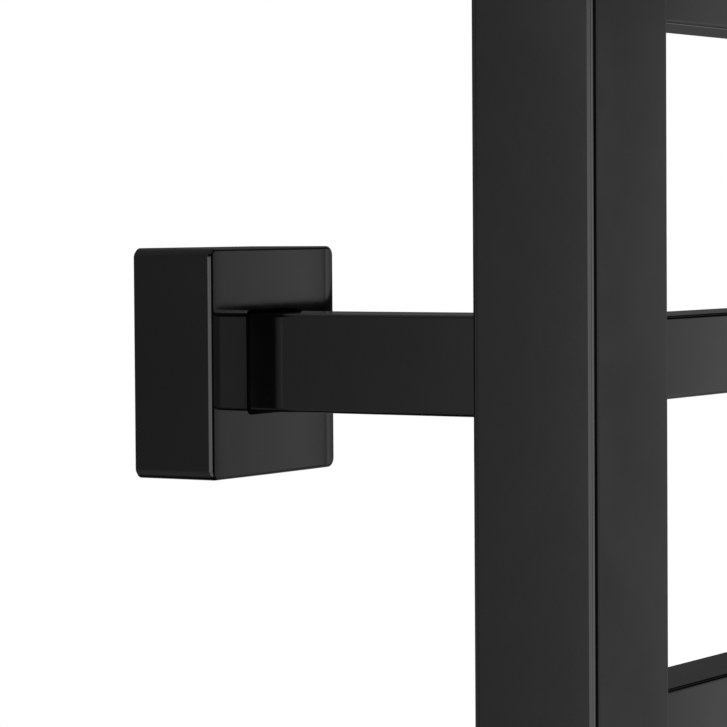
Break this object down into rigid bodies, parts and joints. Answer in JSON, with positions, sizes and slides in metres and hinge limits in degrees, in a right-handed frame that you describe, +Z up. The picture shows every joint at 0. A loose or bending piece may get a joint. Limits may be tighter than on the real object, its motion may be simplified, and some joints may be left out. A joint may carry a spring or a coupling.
{
  "type": "towel warmer rack",
  "caption": "Wall-hung electric towel warmer: a ladder of square crossbars between two upright posts, on square stand-off brackets with sliding rosettes.",
  "frame": {"origin": "centre of the four wall-screw holes, on the wall plane", "axes": "+X along the crossbars, to the right seen from the room; +Y into the wall; +Z up"},
  "size_m": [0.6166, 0.1142, 0.813],
  "materials": {
    "gloss_black": "gloss",
    "zinc_steel": "satin",
    "stainless": "satin",
    "rubber": "matt",
    "black_plastic": "matt",
    "white_plastic": "matt",
    "light_ring": "gloss",
    "brass": "satin"
  },
  "bodies": {
    "rack": {"arm_lock_screws": "zinc_steel", "bezel_nut": "zinc_steel", "button_bezel": "gloss_black", "button_light_ring": "light_ring", "crossbar_1": "gloss_black", "crossbar_2": "gloss_black", "crossbar_3": "gloss_black", "crossbar_4": "gloss_black", "crossbar_5": "gloss_black", "crossbar_6": "gloss_black", "crossbar_7": "gloss_black", "crossbar_8": "gloss_black", "crossbar_9": "gloss_black", "earth_nut": "zinc_steel", "earth_stud": "zinc_steel", "element_bulkhead": "zinc_steel", "element_bush": "stainless", "element_gasket": "rubber", "element_pins": "brass", "gland_body": "black_plastic", "gland_dome_nut": "black_plastic", "gland_locknut": "black_plastic", "heating_element": "stainless", "left_foot_cap": "gloss_black", "left_post": "gloss_black", "left_top_cap": "gloss_black", "lower_left_arm": "gloss_black", "lower_left_wall_anchor": "zinc_steel", "lower_right_arm": "gloss_black", "lower_right_wall_anchor": "zinc_steel", "right_foot_cap": "gloss_black", "right_post": "gloss_black", "right_top_cap": "gloss_black", "switch_body": "black_plastic", "terminal_block": "white_plastic", "terminal_screws": "brass", "thermal_cutout": "black_plastic", "upper_left_arm": "gloss_black", "upper_left_wall_anchor": "zinc_steel", "upper_right_arm": "gloss_black", "upper_right_wall_anchor": "zinc_steel"},
    "upper_left_cover": {"upper_left_rosette": "gloss_black", "upper_left_grip_ring": "rubber"},
    "upper_right_cover": {"upper_right_rosette": "gloss_black", "upper_right_grip_ring": "rubber"},
    "lower_left_cover": {"lower_left_rosette": "gloss_black", "lower_left_grip_ring": "rubber"},
    "lower_right_cover": {"lower_right_rosette": "gloss_black", "lower_right_grip_ring": "rubber"},
    "power_button": {"button_cap": "gloss_black"}
  },
  "joints": [
    {"name": "upper_left_cover_slide", "type": "slide", "parent": "rack", "child": "upper_left_cover", "axis": [0, -1, 0], "range_m": [0, 0.045]},
    {"name": "upper_right_cover_slide", "type": "slide", "parent": "rack", "child": "upper_right_cover", "axis": [0, -1, 0], "range_m": [0, 0.045]},
    {"name": "lower_left_cover_slide", "type": "slide", "parent": "rack", "child": "lower_left_cover", "axis": [0, -1, 0], "range_m": [0, 0.045]},
    {"name": "lower_right_cover_slide", "type": "slide", "parent": "rack", "child": "lower_right_cover", "axis": [0, -1, 0], "range_m": [0, 0.045]},
    {"name": "power_button_press", "type": "slide", "parent": "rack", "child": "power_button", "axis": [0, 1, 0], "range_m": [0, 0.0015], "stiffness_N_per_m": 1300}
  ]
}
